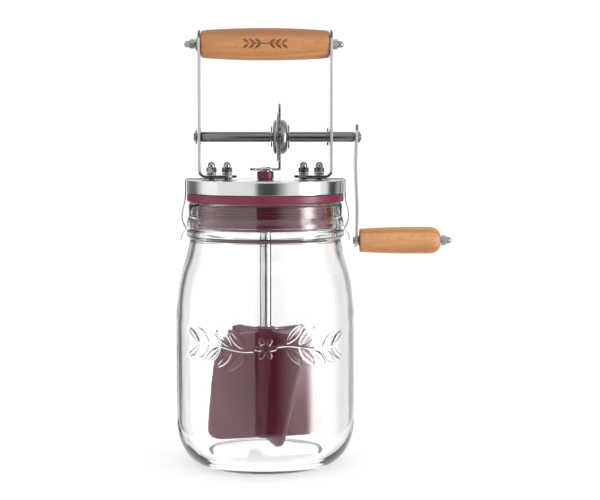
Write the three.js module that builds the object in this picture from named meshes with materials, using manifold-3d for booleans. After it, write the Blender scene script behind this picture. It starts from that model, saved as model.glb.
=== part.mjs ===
// A hand-cranked butter churn: a glass jar, a capped lid with a gear drive in a two-armed frame, and a
// four-bladed paddle on a spindle. Millimetres, +Z up, with the origin at the middle of the jar's foot.
// +X points to the crank's side.
import * as THREE from "three";
import { mergeVertices } from "three/addons/utils/BufferGeometryUtils.js";
import Module from "manifold-3d";

const wasm = await Module();
wasm.setup();

// Driving dimensions.
const GAP = 0.3; // left between two pieces that touch
const ROUND = 32; // sides of a large round piece
const MIDDLE_ROUND = 20; // sides of a grip, a hub or a flange
const SMALL_ROUND = 12; // sides of a small round piece

const jar = { bodyR: 54, wall: 3, footR: 37.5, heelTop: 27, bodyTop: 86, rimZ: 157.4 };
const neck = { r: 46.4, mouthR: 41.8 };
const lid = { topZ: 170.8, sheet: 0.8, r: 47.2, skirtZ: 162.7 };
const seal = { flangeR: 46.7, flangeZ: jar.rimZ + GAP, plugR: 41.2, wall: 3.7, plugZ: 143.5, discZ: 163.5 };
const bush = { collarR: 5, collarTop: 175.7, shankR: 4.2, boreR: 3.3, bottomZ: 161.9 };
const arm = { x: 39.6, t: 1.5, width: 17, footZ: 171.9, footEndX: 17.2, bendR: 3 };
const bolt = { xs: [32.5, 23.1], r: 1.5, hole: 1.8, headR: 2.8, headZ: 167.7, endZ: 179.5 };
const washer = { r: 2.9, t: 1 };
const nut = { corner: 3.15, hex: 3.1, domeR: 2.15, height: 6.5, boreDepth: 5.2 };
const handle = { z: 252, endR: 8.3, midR: 9.75, rodR: 1.5, rodEnds: [-45.5, 45] };
const coneWasher = { t: 1.2, innerR: 1.8, r: 4.6, smallR: 3.2 };
const shaft = { z: 196.4, r: 3.1, journalR: 2.6, leftEnd: -43.1, shoulderX: -38.5, rightEnd: 53.6 };
const tenon = { r: 2.2, end: 57.8 };
const rivet = { boreR: 2.5, r: 3.5, from: 55.9, to: 57.4 };
const clip = { t: 0.8, shaftInnerR: 2.8, grooveR: 2.5 }; // retaining clips and the grooves they sit in
const gear = { x: 8.5, t: 1.3, teeth: 27, tipR: 20.1, rootR: 17.8, tipW: 1.3, rootW: 2.3 };
const pinion = { z: 176.9, t: 1.3, teeth: 12, tipR: 9.7, rootR: 7.3, tipW: 1.2, rootW: 2.1 };
const flange = { x: 7.0, t: 0.6, r: 14.6 };
const hub = { left: [4.6, 6.7], right: [9.45, 13.2], r: 10.3, faceR: 7.2 };
const spindle = { r: 3, lowerR: 3.5, shoulderZ: 159.4, bottomZ: 17.5, topZ: 178.4, clipZ: 160.4, clipR: 5.6 };
const paddle = { r: 36, bottomZ: 13.3, topZ: 79.8, t: 3, hubR: 6.4, topCorner: 10, bottomCorner: 7.5 };
const blade = { blades: 4, topAngle: -49.5, bottomAngle: -76 };
const crank = { x: 54.8, t: 1.6, bow: 0.5, topR: 7.6, endR: 4.3, endZ: 133.8 };
const knob = { startX: 56.9, endX: 105.7, startR: 7.15, r: 8.15, boreR: 2 };
const knobBolt = { r: 1.5, headR: 2.35, headT: 0.8, endX: 110.5, spacerR: 2.95 };
const spring = { t: 0.5, width: 9, z: 171.1, leafFrom: 20.2, leafTo: 46.6 };

const steel = { color: 0xc4c6c8, roughness: 0.28, metalness: 1 };
const darkSteel = { color: 0x6e7072, roughness: 0.25, metalness: 1 };
const silicone = { color: 0x7d2440, roughness: 0.55, metalness: 0 };
const beech = { color: 0xc1885a, roughness: 0.6, metalness: 0 };
const glass = { color: 0xe8f0ee, roughness: 0.05, metalness: 0, transparent: true, opacity: 0.35 };

const RIGHT_ANGLE = Math.PI / 2;
const radians = THREE.MathUtils.degToRad;

// A closed geometry as a solid that can be joined and cut.
function solid(geometry) {
  const bare = geometry.index ? geometry.toNonIndexed() : geometry.clone();
  bare.deleteAttribute("normal");
  bare.deleteAttribute("uv");
  const merged = mergeVertices(bare, 1e-4);
  return new wasm.Manifold(
    new wasm.Mesh({
      numProp: 3,
      vertProperties: merged.attributes.position.array,
      triVerts: new Uint32Array(merged.index.array),
    }),
  );
}

// A joined or cut solid as a geometry again.
function geometryOf(made) {
  const { vertProperties, triVerts } = made.getMesh();
  const geometry = new THREE.BufferGeometry();
  geometry.setAttribute("position", new THREE.BufferAttribute(new Float32Array(vertProperties), 3));
  geometry.setIndex(new THREE.BufferAttribute(new Uint32Array(triVerts), 1));
  geometry.computeVertexNormals();
  return geometry;
}

// Points of an elliptical arc as [radius, height], angles in degrees from the radius axis.
function arc(r, z, semiR, semiZ, from, to, steps) {
  return Array.from({ length: steps + 1 }, (_, i) => {
    const angle = radians(from + ((to - from) * i) / steps);
    return [r + semiR * Math.cos(angle), z + semiZ * Math.sin(angle)];
  });
}

// A profile of [radius, height] turned about Z. It runs upwards on the outside.
function turned(profile, sides = SMALL_ROUND) {
  return new THREE.LatheGeometry(
    profile.map(([r, z]) => new THREE.Vector2(r, z)),
    sides,
  ).rotateX(RIGHT_ANGLE);
}

const rod = (r, from, to, sides) => turned([[0, from], [r, from], [r, to], [0, to]], sides);

const ring = (inner, outer, from, to, sides) =>
  turned([[inner, from], [outer, from], [outer, to], [inner, to], [inner, from]], sides);

// A geometry that was made about Z, turned to lie along +X.
const alongX = (geometry) => geometry.rotateY(RIGHT_ANGLE);

// A shape drawn in X and Z, as thick as width and centred on Y = 0.
function extrudedInY(shape, width, curveSegments = 6) {
  return new THREE.ExtrudeGeometry(shape, { depth: width, bevelEnabled: false, curveSegments })
    .rotateX(RIGHT_ANGLE)
    .translate(0, width / 2, 0);
}

// A shape drawn in Y and Z, extruded from X = from to X = to.
function extrudedInX(shape, from, to, curveSegments = 7) {
  return new THREE.ExtrudeGeometry(shape, { depth: to - from, bevelEnabled: false, curveSegments })
    .rotateX(RIGHT_ANGLE)
    .rotateZ(RIGHT_ANGLE)
    .translate(from, 0, 0);
}

// The side view of a bent strip: a smooth centre line of [x, z] points, with its thickness.
function stripShape(points, thickness, steps) {
  const line = new THREE.SplineCurve(points.map(([x, z]) => new THREE.Vector2(x, z)));
  const offset = (u, side) => {
    const tangent = line.getTangent(u);
    const across = new THREE.Vector2(-tangent.y, tangent.x);
    return line.getPoint(u).add(across.multiplyScalar((side * thickness) / 2));
  };
  const us = Array.from({ length: steps + 1 }, (_, i) => i / steps);
  const outline = us.map((u) => offset(u, 1)).concat(us.reverse().map((u) => offset(u, -1)));
  return new THREE.Shape(outline);
}

// A flat toothed disc with a round bore, centred on Z = 0. The first tooth points along startAngle.
function toothedDisc(wheel, boreR, startAngle) {
  const corners = [
    [wheel.rootR, -wheel.rootW],
    [wheel.tipR, -wheel.tipW],
    [wheel.tipR, wheel.tipW],
    [wheel.rootR, wheel.rootW],
  ];
  const points = Array.from({ length: wheel.teeth }, (_, i) =>
    corners.map(([r, width]) => {
      const angle = startAngle + (i / wheel.teeth) * 2 * Math.PI + width / 2 / r;
      return new THREE.Vector2(r * Math.cos(angle), r * Math.sin(angle));
    }),
  );
  const outline = new THREE.Shape(points.flat());
  outline.holes.push(new THREE.Path().absarc(0, 0, boreR, 0, 2 * Math.PI, true));
  const disc = new THREE.ExtrudeGeometry(outline, { depth: wheel.t, bevelEnabled: false, curveSegments: 8 });
  return disc.translate(0, 0, -wheel.t / 2);
}

// A retaining clip: a flat ring with an open mouth, centred on Z = 0.
function retainingClip(innerR, outerR) {
  const reach = outerR + 1;
  const mouth = new THREE.BoxGeometry(reach, innerR, clip.t * 2).translate(reach / 2, 0, 0);
  return geometryOf(solid(ring(innerR, outerR, -clip.t / 2, clip.t / 2)).subtract(solid(mouth)));
}

// An acorn nut standing on Z = 0, with its blind bore open below.
function acornNut() {
  const hex = new THREE.CylinderGeometry(nut.corner, nut.corner, nut.hex, 6).rotateX(RIGHT_ANGLE);
  const chamfer = turned([[0, -1], [3.6, -1], [3.6, nut.hex - 0.8], [2.6, nut.hex], [0, nut.hex]]);
  const dome = turned([
    [0, 1],
    [nut.domeR, 1],
    ...arc(0, nut.height - nut.domeR, nut.domeR, nut.domeR, 0, 90, 4),
  ]);
  return geometryOf(
    solid(hex.translate(0, 0, nut.hex / 2))
      .intersect(solid(chamfer))
      .add(solid(dome))
      .subtract(solid(rod(bolt.hole, -1, nut.boreDepth))),
  );
}

// A reducer that cuts a tool's solid out of what is made so far.
const cut = (made, tool) => made.subtract(solid(tool));

// Upright bolt holes through the lid and what is bolted to it.
const boltHoles = (xs) => xs.map((x) => rod(bolt.hole, 160, 185).translate(x, 0, 0));

const churn = new THREE.Group();

function add(name, geometry, finish) {
  const mesh = new THREE.Mesh(geometry, new THREE.MeshStandardMaterial(finish));
  mesh.name = name;
  churn.add(mesh);
  return mesh;
}

// Jar: foot, rounded heel, straight body, shoulder, collar ring, groove, bead and neck, then the inside.
function jarProfile() {
  const inner = jar.bodyR - jar.wall;
  const outside = [
    [0, 0],
    ...arc(jar.footR, jar.heelTop, jar.bodyR - jar.footR, jar.heelTop, -90, 0, 6),
    [jar.bodyR, jar.bodyTop],
    [53.7, 94],
    [52.7, 105],
    [50.7, 115],
    [47.4, 126],
    [45.8, 134],
    [47.6, 136.4],
    [47.6, 140.2],
    [45.8, 141.2],
    [45.8, 142],
    [47, 143.2],
    [47, 144.8],
    [neck.r, 146.4],
    [neck.r, jar.rimZ - 1],
    [neck.r - 1, jar.rimZ],
  ];
  const inside = [
    [neck.mouthR + 1, jar.rimZ],
    [neck.mouthR, jar.rimZ - 1],
    [neck.mouthR, 134],
    [44.2, 125],
    [47.7, 114],
    [49.7, 104],
    [inner, 90],
    [inner, jar.heelTop + 2],
    ...arc(jar.footR - 4, jar.heelTop + 2, inner - jar.footR + 4, jar.heelTop - 4, 0, -90, 4).slice(1),
    [0, 5],
  ];
  return [...outside, ...inside];
}
add("glass_jar", turned(jarProfile(), ROUND), glass);

// Lid: a drawn steel cap with holes for the spindle's bush and the four bolts.
function lidCover() {
  const under = lid.topZ - lid.sheet;
  const cap = turned(
    [
      [bush.shankR + GAP, under],
      [lid.r - 1.7, under],
      [lid.r - lid.sheet, under - 0.9],
      [lid.r - lid.sheet, lid.skirtZ],
      [lid.r, lid.skirtZ],
      [lid.r, lid.topZ - 1.5],
      [lid.r - 0.45, lid.topZ - 0.45],
      [lid.r - 1.5, lid.topZ],
      [bush.shankR + GAP, lid.topZ],
      [bush.shankR + GAP, under],
    ],
    ROUND,
  );
  return geometryOf(boltHoles(bolt.xs.flatMap((x) => [x, -x])).reduce(cut, solid(cap)));
}
add("lid_cover", lidCover(), steel);

// Seal: a stopper with a ribbed plug in the jar's mouth, a flange on the rim and a disc under the cap.
// A shallow ring on top leaves room for the bolts' heads.
function sealProfile() {
  const inner = seal.plugR - seal.wall;
  const top = lid.topZ - lid.sheet - GAP;
  const insideCap = lid.r - lid.sheet - GAP;
  const ribs = Array.from({ length: 3 }, (_, i) => 149.5 + i * 2.7).flatMap((z) => [
    [seal.plugR - 0.8, z],
    [seal.plugR, z + 1.4],
  ]);
  return [
    [bush.shankR + GAP, seal.discZ],
    [inner - 1, seal.discZ],
    [inner, seal.discZ - 1],
    [inner, seal.plugZ],
    [seal.plugR - 0.8, seal.plugZ],
    [seal.plugR, seal.plugZ + 0.8],
    [seal.plugR, 148.5],
    ...ribs,
    [seal.plugR - 0.8, seal.flangeZ],
    [seal.flangeR, seal.flangeZ],
    [seal.flangeR, lid.skirtZ - GAP],
    [insideCap, lid.skirtZ - GAP],
    [insideCap, top - 1],
    [insideCap - 1.2, top],
    [37, top],
    [36.5, bolt.headZ - GAP],
    [19, bolt.headZ - GAP],
    [18.5, top],
    [bush.shankR + GAP, top],
    [bush.shankR + GAP, seal.discZ],
  ];
}
add("lid_seal", turned(sealProfile(), ROUND), silicone);

// Bush: a collar on the lid with a shank down through the lid and the seal.
add(
  "spindle_bush",
  turned([
    [bush.boreR, bush.bottomZ],
    [bush.shankR, bush.bottomZ],
    [bush.shankR, lid.topZ + GAP],
    [bush.collarR, lid.topZ + GAP],
    [bush.collarR, bush.collarTop],
    [bush.boreR, bush.collarTop],
    [bush.boreR, bush.bottomZ],
  ]),
  silicone,
);

// The bore in each arm that takes the shaft's bush.
const bushHole = shaft.r + GAP + 1.1 + GAP;

// Frame arm: a flat strap bent into an L and round at both ends, with holes for the shaft's bush, the
// handle's rod and two bolts.
function frameArm() {
  const outer = arm.x + arm.t / 2;
  const inner = arm.x - arm.t / 2;
  const bendX = inner - arm.bendR;
  const bendZ = arm.footZ + arm.t + arm.bendR;
  const topZ = handle.z + arm.width / 2;
  const side = new THREE.Shape()
    .moveTo(arm.footEndX, arm.footZ)
    .lineTo(bendX, arm.footZ)
    .absarc(bendX, bendZ, arm.bendR + arm.t, -RIGHT_ANGLE, 0, false)
    .lineTo(outer, topZ)
    .lineTo(inner, topZ)
    .lineTo(inner, bendZ)
    .absarc(bendX, bendZ, arm.bendR, 0, -RIGHT_ANGLE, true)
    .lineTo(arm.footEndX, arm.footZ + arm.t);
  const half = arm.width / 2;
  const front = new THREE.Shape()
    .moveTo(-half, 160)
    .lineTo(half, 160)
    .lineTo(half, handle.z)
    .absarc(0, handle.z, half, 0, Math.PI, false);
  const plan = new THREE.Shape()
    .moveTo(outer + 1, half)
    .lineTo(arm.footEndX + half, half)
    .absarc(arm.footEndX + half, 0, half, RIGHT_ANGLE, RIGHT_ANGLE * 3, false)
    .lineTo(outer + 1, -half);
  const planSolid = new THREE.ExtrudeGeometry(plan, { depth: 120, bevelEnabled: false, curveSegments: 7 });
  const holes = [
    alongX(rod(bushHole, 30, 50)).translate(0, 0, shaft.z),
    alongX(rod(bolt.hole, 30, 50, 12)).translate(0, 0, handle.z),
    ...boltHoles(bolt.xs),
  ];
  const strap = solid(extrudedInY(side, arm.width + 2))
    .intersect(solid(extrudedInX(front, 0, 60)))
    .intersect(solid(planSolid.translate(0, 0, 160)));
  return geometryOf(holes.reduce(cut, strap));
}

// What stands on one side of the lid, and again on the other side, half a turn round.
for (const [side, turn] of [["right", 0], ["left", Math.PI]]) {
  add("frame_arm_" + side, frameArm(), steel).rotation.z = turn;

  // The leaf of the side's spring clip lies on the lid under the arm's foot.
  const leaf = new THREE.BoxGeometry(spring.leafTo - spring.leafFrom, spring.width, spring.t);
  leaf.translate((spring.leafFrom + spring.leafTo) / 2, 0, spring.z + spring.t / 2);
  add("clip_leaf_" + side, geometryOf(boltHoles(bolt.xs).reduce(cut, solid(leaf))), steel).rotation.z = turn;

  // The leg runs down past the skirt, bulges round the neck, pinches in under the bead and flares out.
  const legLine = [
    [46.9, 171.35],
    [47.75, 170.9],
    [48.05, 170],
    [48.05, 163.5],
    [48.6, 157.5],
    [50.1, 151],
    [50.1, 147],
    [49, 143.6],
    [47.8, 141.6],
    [48.4, 140.2],
    [50.1, 138],
    [50.8, 134.5],
  ];
  const leg = extrudedInY(stripShape(legLine, spring.t, 22), spring.width);
  add("lid_clip_" + side, leg, steel).rotation.z = turn;

  // Bolts through the lid, the leaf and the foot, each with a spring washer and an acorn nut.
  for (const [place, x] of [["outer", bolt.xs[0]], ["inner", bolt.xs[1]]]) {
    const at = turn ? -x : x;
    const screw = turned([
      [0, bolt.headZ],
      [bolt.headR, bolt.headZ],
      [bolt.headR, lid.topZ - lid.sheet - GAP],
      [bolt.r, lid.topZ - lid.sheet - GAP],
      [bolt.r, bolt.endZ],
      [0, bolt.endZ],
    ]);
    add(`foot_screw_${side}_${place}`, screw, steel).position.x = at;
    const from = arm.footZ + arm.t + GAP;
    const to = from + washer.t;
    add(`foot_washer_${side}_${place}`, ring(bolt.hole, washer.r, from, to), steel).position.x = at;
    add(`foot_nut_${side}_${place}`, acornNut(), steel).position.set(at, 0, to + GAP);
  }
}

// Carry handle: a turned barrel on a rod through both arms, with an acorn nut on each end.
function carryHandle() {
  const half = arm.x - arm.t / 2 - GAP;
  const barrel = Array.from({ length: 7 }, (_, i) => {
    const x = -half + 1.6 + ((half - 1.6) * 2 * i) / 6;
    return [handle.midR - (handle.midR - handle.endR) * (x / half) ** 2, x];
  });
  const boreR = handle.rodR + GAP + 0.2;
  return alongX(
    turned(
      [
        [boreR, -half],
        [handle.endR - 1.6, -half],
        ...barrel,
        [handle.endR - 1.6, half],
        [boreR, half],
        [boreR, -half],
      ],
      MIDDLE_ROUND,
    ),
  );
}
const armOutside = arm.x + arm.t / 2 + GAP;
add("carry_handle", carryHandle(), beech).position.z = handle.z;
add("handle_rod", alongX(rod(handle.rodR, ...handle.rodEnds)), darkSteel).position.z = handle.z;
const cone = alongX(
  turned([
    [coneWasher.innerR, 0],
    [coneWasher.smallR, 0],
    [coneWasher.r, coneWasher.t],
    [coneWasher.innerR, coneWasher.t],
    [coneWasher.innerR, 0],
  ]),
);
add("handle_washer", cone, steel).position.set(-armOutside - coneWasher.t, 0, handle.z);
const rightNut = add("handle_nut_right", acornNut(), steel);
rightNut.rotation.y = RIGHT_ANGLE;
rightNut.position.set(armOutside, 0, handle.z);
const leftNut = add("handle_nut_left", acornNut(), steel);
leftNut.rotation.y = -RIGHT_ANGLE;
leftNut.position.set(-armOutside - coneWasher.t - GAP, 0, handle.z);

// Crank shaft: a bar with grooves for its clips, a journal in the left arm and a tenon through the crank arm.
const shaftClips = {
  shaft_clip_left: { x: -41.6, innerR: 2.45, outerR: 4.35 },
  gear_clip_left: { x: 3.7, innerR: clip.shaftInnerR, outerR: 6.5 },
  gear_clip_right: { x: 14, innerR: clip.shaftInnerR, outerR: 7.5 },
  shaft_clip_right: { x: 37.5, innerR: clip.shaftInnerR, outerR: 5.6 },
};
function crankShaft() {
  const groove = (name, r, grooveR) => {
    const from = shaftClips[name].x - clip.t / 2 - GAP;
    const to = shaftClips[name].x + clip.t / 2 + GAP;
    return [[r, from], [grooveR, from], [grooveR, to], [r, to]];
  };
  return alongX(
    turned([
      [0, shaft.leftEnd],
      [shaft.journalR - 0.5, shaft.leftEnd],
      [shaft.journalR, shaft.leftEnd + 0.5],
      ...groove("shaft_clip_left", shaft.journalR, 2.15),
      [shaft.journalR, shaft.shoulderX],
      [shaft.r, shaft.shoulderX + 0.5],
      ...groove("gear_clip_left", shaft.r, clip.grooveR),
      ...groove("gear_clip_right", shaft.r, clip.grooveR),
      ...groove("shaft_clip_right", shaft.r, clip.grooveR),
      [shaft.r, shaft.rightEnd - 0.6],
      [tenon.r, shaft.rightEnd - 0.1],
      [tenon.r, tenon.end - 0.8],
      [tenon.r - 0.8, tenon.end],
      [0, tenon.end],
    ]),
  );
}
add("crank_shaft", crankShaft(), darkSteel).position.z = shaft.z;
for (const [name, { x, innerR, outerR }] of Object.entries(shaftClips)) {
  add(name, alongX(retainingClip(innerR, outerR)), darkSteel).position.set(x, 0, shaft.z);
}
const bushEnds = [-1, 1].map((side) => arm.x + side * (arm.t / 2 + 0.15));
const rightBush = alongX(ring(shaft.r + GAP, bushHole - GAP, ...bushEnds));
add("shaft_bush_right", rightBush, darkSteel).position.z = shaft.z;
const leftBush = alongX(ring(shaft.journalR + GAP, bushHole - GAP, ...bushEnds)).rotateZ(Math.PI);
add("shaft_bush_left", leftBush, darkSteel).position.z = shaft.z;

// Drive gear: a toothed disc with a backing flange, between two domed hub cups.
const gearBore = shaft.r + GAP;
const driveGear = alongX(toothedDisc(gear, gearBore, 0));
add("drive_gear", driveGear, darkSteel).position.set(gear.x, 0, shaft.z);
const gearFlange = alongX(ring(gearBore, flange.r, 0, flange.t, MIDDLE_ROUND));
add("gear_flange", gearFlange, steel).position.set(flange.x, 0, shaft.z);
const cup = (from, to) =>
  alongX(
    turned(
      [
        [gearBore, from],
        [hub.r, from],
        ...arc(hub.faceR, from + 0.6, hub.r - hub.faceR, to - from - 0.6, 0, 90, 3),
        [gearBore, to],
        [gearBore, from],
      ],
      MIDDLE_ROUND,
    ),
  );
add("gear_hub_right", cup(0, hub.right[1] - hub.right[0]), steel).position.set(hub.right[0], 0, shaft.z);
const leftHub = add("gear_hub_left", cup(0, hub.left[1] - hub.left[0]), steel);
leftHub.rotation.z = Math.PI;
leftHub.position.set(hub.left[1], 0, shaft.z);

// Spindle: the pinion above the bush, a clip below the seal and the paddle at the bottom.
const pinionGear = toothedDisc(pinion, spindle.r + GAP, Math.PI / pinion.teeth);
add("pinion_gear", pinionGear, steel).position.z = pinion.z;
function spindleRod() {
  const from = spindle.clipZ - clip.t / 2 - GAP;
  const to = spindle.clipZ + clip.t / 2 + GAP;
  const grooveR = spindle.r - 0.6;
  return turned([
    [0, spindle.bottomZ],
    [spindle.lowerR, spindle.bottomZ],
    [spindle.lowerR, spindle.shoulderZ - 0.5],
    [spindle.r, spindle.shoulderZ],
    [spindle.r, from],
    [grooveR, from],
    [grooveR, to],
    [spindle.r, to],
    [spindle.r, spindle.topZ - 0.6],
    [spindle.r - 0.6, spindle.topZ],
    [0, spindle.topZ],
  ]);
}
add("spindle_rod", spindleRod(), steel);
add("spindle_clip", retainingClip(spindle.r - 0.3, spindle.clipR), steel).position.z = spindle.clipZ;

// One paddle blade: a plate from the hub outwards with rounded outer corners, twisted as it rises.
function paddleBlade() {
  const middle = [0.2, 0.4, 0.6, 0.8];
  const corner = (z, r, from) => arc(paddle.r - r, z, r, r, from, from + 90, 4);
  const straight = paddle.topZ - paddle.topCorner - paddle.bottomZ - paddle.bottomCorner;
  const edge = [
    ...corner(paddle.bottomZ + paddle.bottomCorner, paddle.bottomCorner, -90),
    ...middle.map((u) => [paddle.r, paddle.bottomZ + paddle.bottomCorner + u * straight]),
    ...corner(paddle.topZ - paddle.topCorner, paddle.topCorner, 0),
  ];
  const plate = new THREE.BoxGeometry(1, paddle.t, edge.length - 1, 1, 1, edge.length - 1);
  const at = plate.attributes.position;
  for (let i = 0; i < at.count; i++) {
    const [r, z] = edge[Math.round(at.getZ(i) + (edge.length - 1) / 2)];
    const across = THREE.MathUtils.lerp(1, r, at.getX(i) + 0.5);
    const height = (z - paddle.bottomZ) / (paddle.topZ - paddle.bottomZ);
    const angle = radians(THREE.MathUtils.lerp(blade.bottomAngle, blade.topAngle, height));
    const y = at.getY(i);
    at.setXYZ(
      i,
      across * Math.cos(angle) - y * Math.sin(angle),
      across * Math.sin(angle) + y * Math.cos(angle),
      z,
    );
  }
  return plate;
}
function paddleSolid() {
  let made = solid(rod(paddle.hubR, paddle.bottomZ, paddle.topZ + 1.5));
  for (let i = 0; i < blade.blades; i++) {
    made = made.add(solid(paddleBlade().rotateZ((i / blade.blades) * 2 * Math.PI)));
  }
  return geometryOf(made.subtract(solid(rod(spindle.lowerR + GAP, spindle.bottomZ - GAP, 100))));
}
add("paddle", paddleSolid(), silicone);

// Crank arm: a tapered strap with round ends, slightly bowed, riveted on the shaft's tenon.
function crankArm() {
  const reach = shaft.z - crank.endZ;
  const line = Array.from({ length: 13 }, (_, i) => {
    const z = crank.endZ - 8 + (i / 12) * (reach + 18);
    return [crank.x + crank.bow * Math.sin(((z - crank.endZ) / reach) * 2 * Math.PI), z];
  });
  const slope = Math.asin((crank.topR - crank.endR) / reach);
  const front = new THREE.Shape()
    .absarc(0, shaft.z, crank.topR, -slope, Math.PI + slope, false)
    .absarc(0, crank.endZ, crank.endR, Math.PI + slope, 2 * Math.PI - slope, false);
  const holes = [
    alongX(rod(tenon.r + GAP, 50, 60, 12)).translate(0, 0, shaft.z),
    alongX(rod(knobBolt.r + GAP, 50, 60, 12)).translate(0, 0, crank.endZ),
  ];
  const bowed = solid(extrudedInY(stripShape(line, crank.t, 14), 20));
  const strap = bowed.intersect(solid(extrudedInX(front, 50, 60)));
  return geometryOf(holes.reduce(cut, strap));
}
add("crank_arm", crankArm(), steel);
const rivetHead = alongX(
  turned([
    [rivet.boreR, rivet.from],
    [rivet.r, rivet.from],
    [rivet.r, rivet.to - 0.6],
    [rivet.r - 0.6, rivet.to],
    [rivet.boreR, rivet.to],
    [rivet.boreR, rivet.from],
  ]),
);
add("crank_rivet", rivetHead, darkSteel).position.z = shaft.z;

// Crank knob: a turned grip that spins on its bolt, with a spacer at the arm and an acorn nut at the end.
function knobProfile() {
  return [
    [knob.boreR, knob.startX],
    [knob.startR - 0.8, knob.startX],
    [knob.startR, knob.startX + 0.8],
    [knob.startR + 0.5, knob.startX + 10],
    [knob.r, knob.startX + 22],
    [knob.r, knob.endX - 7],
    ...arc(knob.r - 4.5, knob.endX - 6, 4.5, 6, 0, 90, 4),
    [knob.boreR, knob.endX],
    [knob.boreR, knob.startX],
  ];
}
add("crank_knob", alongX(turned(knobProfile(), MIDDLE_ROUND)), beech).position.z = crank.endZ;
const headX = crank.x - crank.t / 2 - GAP;
const boltShape = alongX(
  turned([
    [0, headX - knobBolt.headT],
    [knobBolt.headR, headX - knobBolt.headT],
    [knobBolt.headR, headX],
    [knobBolt.r, headX],
    [knobBolt.r, knobBolt.endX],
    [0, knobBolt.endX],
  ]),
);
add("knob_bolt", boltShape, darkSteel).position.z = crank.endZ;
const spacer = alongX(
  ring(knobBolt.r + GAP, knobBolt.spacerR, crank.x + crank.t / 2 + GAP, knob.startX - GAP),
);
add("knob_spacer", spacer, darkSteel).position.z = crank.endZ;
const knobNut = add("knob_nut", acornNut(), steel);
knobNut.rotation.y = RIGHT_ANGLE;
knobNut.position.set(knob.endX + GAP + 0.2, 0, crank.endZ);

export default churn;
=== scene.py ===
"""A hand-cranked butter churn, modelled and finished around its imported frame.

Pieces are drawn in millimetres, as on a maker's drawing, and stored in metres. +X is the crank's side
and -Y the front.
"""
import math

import bmesh
import bpy
from mathutils import Matrix, Vector


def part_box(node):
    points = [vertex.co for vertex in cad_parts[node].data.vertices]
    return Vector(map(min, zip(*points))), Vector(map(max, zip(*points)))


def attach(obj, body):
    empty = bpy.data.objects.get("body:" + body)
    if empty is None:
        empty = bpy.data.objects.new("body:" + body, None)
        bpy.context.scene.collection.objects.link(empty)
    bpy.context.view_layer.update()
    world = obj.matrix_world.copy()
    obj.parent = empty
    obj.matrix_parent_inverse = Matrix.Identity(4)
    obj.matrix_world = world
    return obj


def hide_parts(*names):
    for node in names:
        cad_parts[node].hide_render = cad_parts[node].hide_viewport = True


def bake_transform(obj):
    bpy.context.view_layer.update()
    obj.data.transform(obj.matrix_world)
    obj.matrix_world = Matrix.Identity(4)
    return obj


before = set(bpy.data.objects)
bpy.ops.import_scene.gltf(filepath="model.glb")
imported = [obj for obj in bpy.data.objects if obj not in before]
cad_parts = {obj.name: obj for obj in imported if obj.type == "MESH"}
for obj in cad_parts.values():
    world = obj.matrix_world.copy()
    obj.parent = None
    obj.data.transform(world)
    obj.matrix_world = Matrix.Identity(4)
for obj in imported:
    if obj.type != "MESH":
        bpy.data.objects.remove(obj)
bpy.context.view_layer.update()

bl_info = {
    "name": "Butter churn",
    "version": (1, 0, 0),
    "blender": (4, 5, 0),
    "location": "3D View > Sidebar > Churn",
    "description": "Models a glass butter churn with a geared lid, piece by piece",
    "category": "Add Mesh",
}

MM = 0.001
FINE = 144  # steps of a large turned piece
MIDDLE = 72  # steps of a grip, a hub or a flange
SMALL = 48  # steps of a fastener
SHAFT_Z = 196.4  # height of the crank shaft's middle line, in mm
HANDLE_Z = 252.0  # height of the carry handle's middle line
KNOB_X = 80.0  # middle of the crank's knob
KNOB_Z = 133.8  # height of the knob's middle line, with the crank hanging


def box_mm(node):
    """A node's lowest and highest corners in millimetres."""
    low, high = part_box(node)
    return low / MM, high / MM


# ---- values a user would change


def colour(name, description, default):
    return bpy.props.FloatVectorProperty(
        name=name, description=description, default=default, min=0, max=1, size=4, subtype="COLOR"
    )


def number(name, description, default, low=0.0, high=100.0):
    return bpy.props.FloatProperty(name=name, description=description, default=default, min=low, max=high)


class ChurnColours(bpy.types.PropertyGroup):
    """Colours of the churn's finishes."""

    glass: colour("Glass", "Tint of the jar", (0.985, 0.99, 0.988, 1))
    silicone: colour("Silicone", "Seal, bush and paddle", (0.175, 0.011, 0.038, 1))
    cap_steel: colour("Cap steel", "Turned steel of the lid's cap", (0.68, 0.68, 0.69, 1))
    strip_steel: colour("Strip steel", "Arms, clips and crank arm", (0.62, 0.62, 0.63, 1))
    pressed_steel: colour("Pressed steel", "Hub cups, flange and pinion", (0.27, 0.27, 0.275, 1))
    shaft_steel: colour("Shaft steel", "Crank shaft, gear and retaining clips", (0.17, 0.17, 0.175, 1))
    plating: colour("Plating", "Acorn nuts, washers and screws", (0.32, 0.32, 0.33, 1))
    beech_light: colour("Beech, light", "Early wood of the grips", (0.63, 0.315, 0.13, 1))
    beech_dark: colour("Beech, dark", "Late wood of the grips", (0.415, 0.168, 0.058, 1))
    burn: colour("Burnt mark", "Leaf sprig burnt into the carry handle", (0.09, 0.035, 0.015, 1))
    floor: colour("Floor", "Studio floor", (0.5, 0.5, 0.5, 1))


class ChurnSizes(bpy.types.PropertyGroup):
    """Small sizes that the frame doesn't hold, in millimetres, and the studio's lens and lights."""

    edge: number("Edge", "Rounding of a stamped edge", 0.22, 0.02, 1)
    relief: number("Relief", "Height of the sprig moulded on the jar", 0.8, 0, 2)
    blade: number("Blade", "Thickness of a paddle blade", 3.0, 1, 5)
    lens: number("Lens", "Camera's focal length", 85.8, 20, 300)
    key_power: number("Key light", "Brightness of the right softbox", 11)
    sky: number("Sky", "Brightness of the white surround", 1.1)


def colours():
    return bpy.context.scene.churn_colours


def sizes():
    return bpy.context.scene.churn_sizes


# ---- shader maths and finishes


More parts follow.
